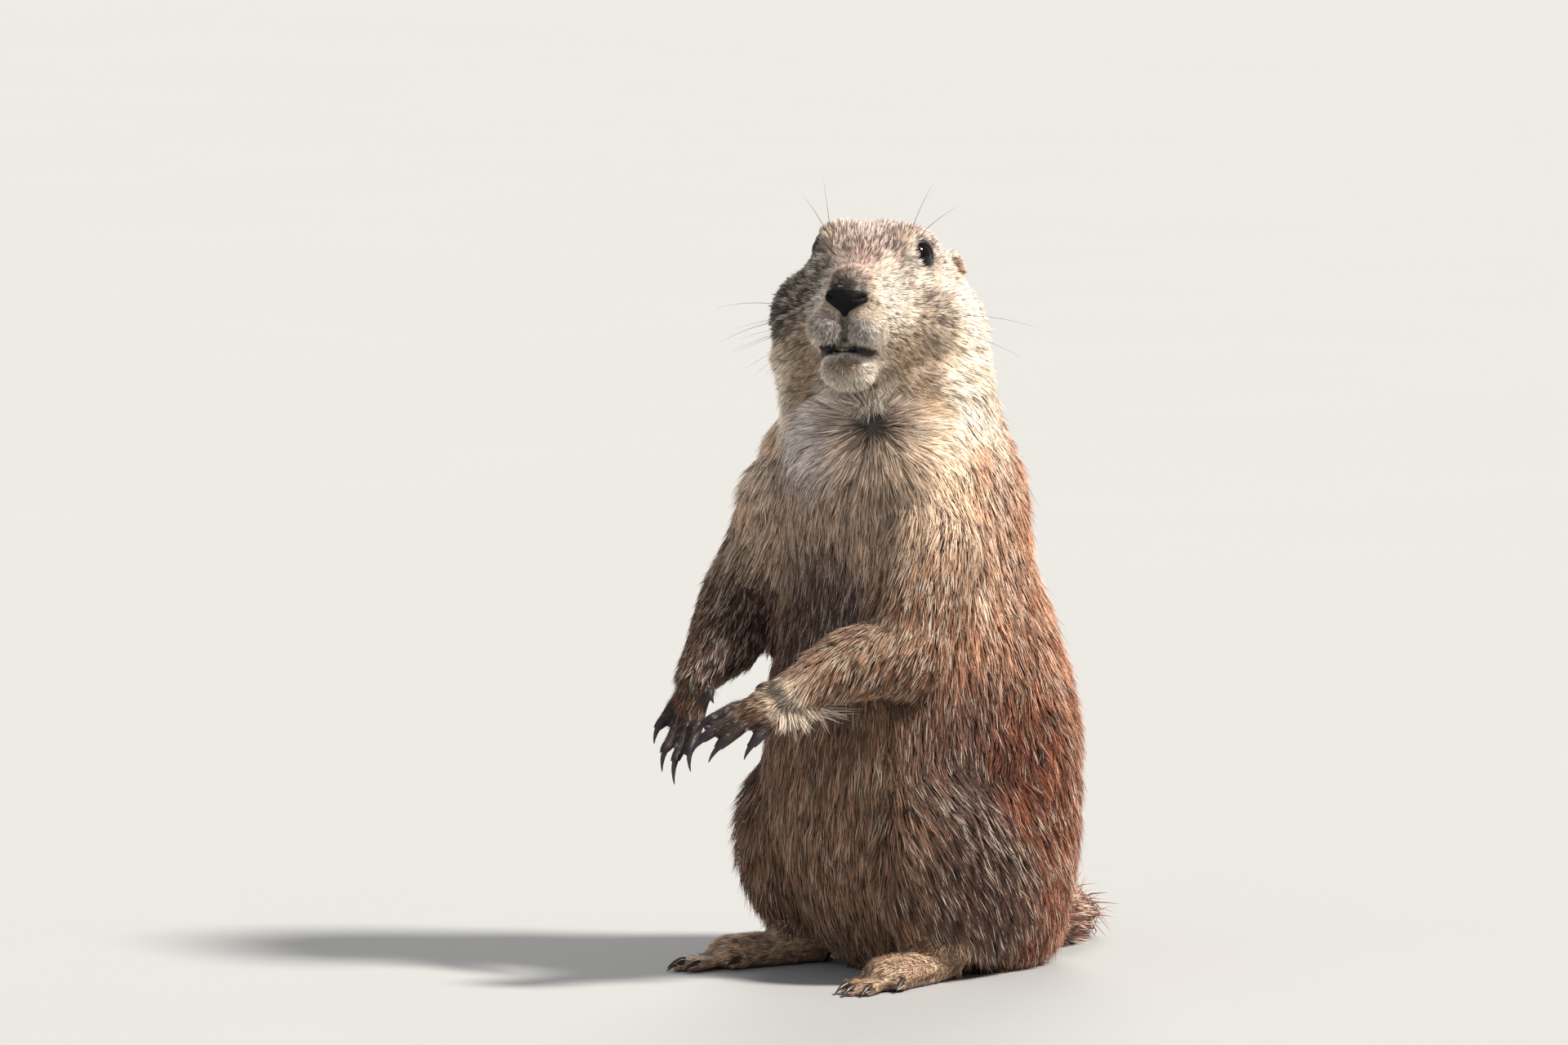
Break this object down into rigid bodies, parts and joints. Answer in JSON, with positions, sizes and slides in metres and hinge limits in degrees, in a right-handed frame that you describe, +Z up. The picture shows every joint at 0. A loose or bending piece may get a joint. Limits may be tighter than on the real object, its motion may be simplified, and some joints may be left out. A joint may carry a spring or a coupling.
{
  "type": "prairie dog",
  "caption": "Life-size still figure of a prairie dog sitting upright on its haunches, forepaws hanging in front and head turned to its left.",
  "frame": {"origin": "on the floor, under the middle of the model's bounding box", "axes": "+Z up; the hips face -Y; the animal's left side is +X"},
  "size_m": [0.1482, 0.2332, 0.2674],
  "materials": {
    "coat": "short dense fur, buff below and cinnamon brown above",
    "digits": "short hair over dark bare skin",
    "nose": "bare damp skin",
    "eye": "polished",
    "claw": "smooth dark horn"
  },
  "bodies": {
    "root": {"claw_foot_left_fifth": "claw", "claw_foot_left_first": "claw", "claw_foot_left_fourth": "claw", "claw_foot_left_second": "claw", "claw_foot_left_third": "claw", "claw_foot_right_fifth": "claw", "claw_foot_right_first": "claw", "claw_foot_right_fourth": "claw", "claw_foot_right_second": "claw", "claw_foot_right_third": "claw", "claw_hand_left_index": "claw", "claw_hand_left_little": "claw", "claw_hand_left_middle": "claw", "claw_hand_left_ring": "claw", "claw_hand_left_thumb": "claw", "claw_hand_right_index": "claw", "claw_hand_right_little": "claw", "claw_hand_right_middle": "claw", "claw_hand_right_ring": "claw", "claw_hand_right_thumb": "claw", "ear_left": "coat", "ear_right": "coat", "eye_left": "eye", "eye_right": "eye", "foot_left": "digits", "foot_right": "digits", "forearm_left": "coat", "forearm_right": "coat", "hand_left": "digits", "hand_right": "digits", "haunch_left": "coat", "haunch_right": "coat", "head": "coat", "neck": "coat", "nose": "nose", "tail_brush": "coat", "tail_root": "coat", "torso": "coat", "upper_arm_left": "coat", "upper_arm_right": "coat"}
  },
  "joints": []
}
